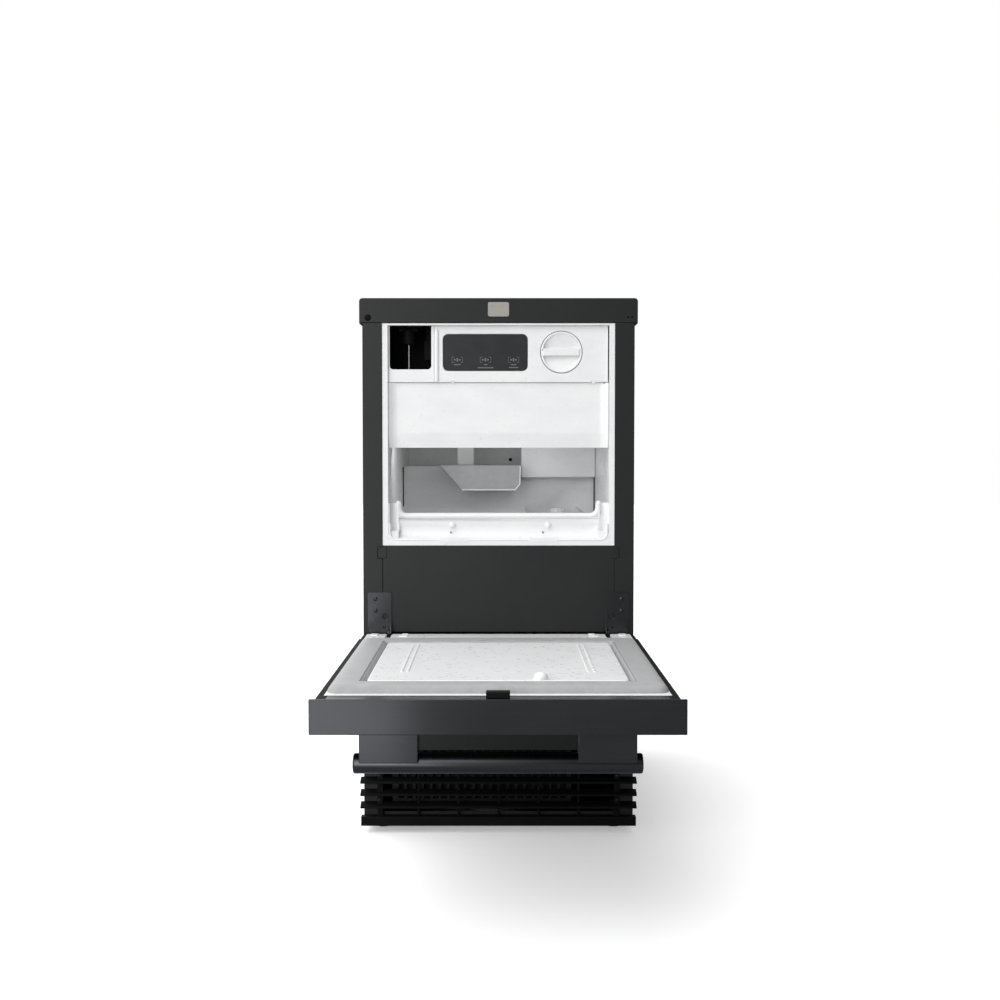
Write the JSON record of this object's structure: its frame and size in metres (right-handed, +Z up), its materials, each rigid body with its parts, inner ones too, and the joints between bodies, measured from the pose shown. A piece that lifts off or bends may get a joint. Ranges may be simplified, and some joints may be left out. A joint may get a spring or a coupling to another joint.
{
  "type": "undercounter ice maker",
  "caption": "Narrow undercounter clear-ice maker with a drop-down door shown open, a white lined bin, control panel, bar handle and louvred kick grille.",
  "frame": {"origin": "on the floor under the centre of the whole object's bounding box, door open", "axes": "+X to the user's right, front and open door towards -Y, +Z up"},
  "size_m": [0.454, 1.1168, 0.8648],
  "materials": {
    "black_paint": "satin black paint",
    "black_steel": "brushed dark steel",
    "black_plastic": "moulded black",
    "white_plastic": "moulded white",
    "grey_gasket": "soft grey vinyl",
    "galvanised": "zinc-coated sheet",
    "steel": "stainless",
    "nickel": "dull nickel",
    "copper": "copper",
    "glass_black": "smoked panel",
    "board_green": "coated circuit board",
    "foam": "rigid foam",
    "rubber": "hard black rubber",
    "grey_plastic": "moulded grey"
  },
  "bodies": {
    "cabinet": {"cabinet_shell": "black_paint", "top_cap": "black_paint", "strike_plate": "nickel", "base_pan": "black_paint", "back_panel": "galvanised", "kick_grille": "black_plastic", "access_panel": "black_paint", "lower_front_panel": "black_paint", "hinge_bracket_left": "black_steel", "hinge_bracket_right": "black_steel", "hinge_pin_left": "steel", "hinge_pin_right": "steel", "bin_liner": "white_plastic", "cabinet_insulation": "foam", "control_bezel": "white_plastic", "display_glass": "glass_black", "control_board": "board_green", "pump_bay_bezel": "white_plastic", "pump_bay": "black_plastic", "pump_motor": "black_plastic", "pump_housing": "black_plastic", "filter_housing": "grey_plastic", "evaporator_plate": "steel", "evaporator_coil": "copper", "cutter_grid": "steel", "water_pan": "white_plastic", "water_tube": "white_plastic", "evaporator_cover": "white_plastic", "drain_cap": "white_plastic", "rear_duct_cover": "white_plastic", "thermostat_housing": "white_plastic", "compressor": "black_paint", "condenser": "black_paint", "suction_line": "copper", "discharge_line": "copper", "fan_shroud": "black_plastic", "fan_motor": "galvanised", "water_valve": "grey_plastic", "junction_box": "galvanised", "drain_tube": "grey_plastic"},
    "door": {"door_skin": "black_steel", "door_frame": "black_plastic", "door_liner": "white_plastic", "door_insulation": "foam", "door_gasket": "grey_gasket", "latch_tab": "black_plastic", "handle_bar": "black_steel", "handle_post_left": "black_steel", "handle_post_right": "black_steel", "hinge_arm_left": "steel", "hinge_arm_right": "steel"},
    "filter": {"filter_cap": "white_plastic", "filter_cartridge": "white_plastic"},
    "fan": {"fan_blade": "grey_plastic"},
    "pump_impeller": {"pump_rotor": "steel"},
    "foot_front_left_body": {"foot_front_left": "rubber"},
    "foot_front_right_body": {"foot_front_right": "rubber"},
    "foot_rear_left_body": {"foot_rear_left": "rubber"},
    "foot_rear_right_body": {"foot_rear_right": "rubber"},
    "scoop": {"ice_scoop": "white_plastic"}
  },
  "joints": [
    {"name": "door_hinge", "type": "hinge", "parent": "cabinet", "child": "door", "pos_m": [0, -0.0186, 0.325], "axis": [-1, 0, 0], "range_deg": [0, 90]},
    {"name": "filter_turn", "type": "hinge", "parent": "cabinet", "child": "filter", "pos_m": [0.1016, -0.003, 0.7787], "axis": [0, -1, 0], "range_deg": [0, 90]},
    {"name": "fan_spin", "type": "hinge", "parent": "cabinet", "child": "fan", "pos_m": [-0.0275, 0.0764, 0.1395], "axis": [0, 1, 0], "continuous": true},
    {"name": "pump_spin", "type": "hinge", "parent": "cabinet", "child": "pump_impeller", "pos_m": [-0.1468, 0.0324, 0.6808], "axis": [0, 0, 1], "continuous": true},
    {"name": "foot_front_left_screw", "type": "slide", "parent": "cabinet", "child": "foot_front_left_body", "axis": [0, 0, -1], "range_m": [0, 0.02]},
    {"name": "foot_front_right_screw", "type": "slide", "parent": "cabinet", "child": "foot_front_right_body", "axis": [0, 0, -1], "range_m": [0, 0.02]},
    {"name": "foot_rear_left_screw", "type": "slide", "parent": "cabinet", "child": "foot_rear_left_body", "axis": [0, 0, -1], "range_m": [0, 0.02]},
    {"name": "foot_rear_right_screw", "type": "slide", "parent": "cabinet", "child": "foot_rear_right_body", "axis": [0, 0, -1], "range_m": [0, 0.02]},
    {"name": "scoop_lift", "type": "slide", "parent": "cabinet", "child": "scoop", "axis": [0, 0, 1], "range_m": [0, 0.03]}
  ]
}
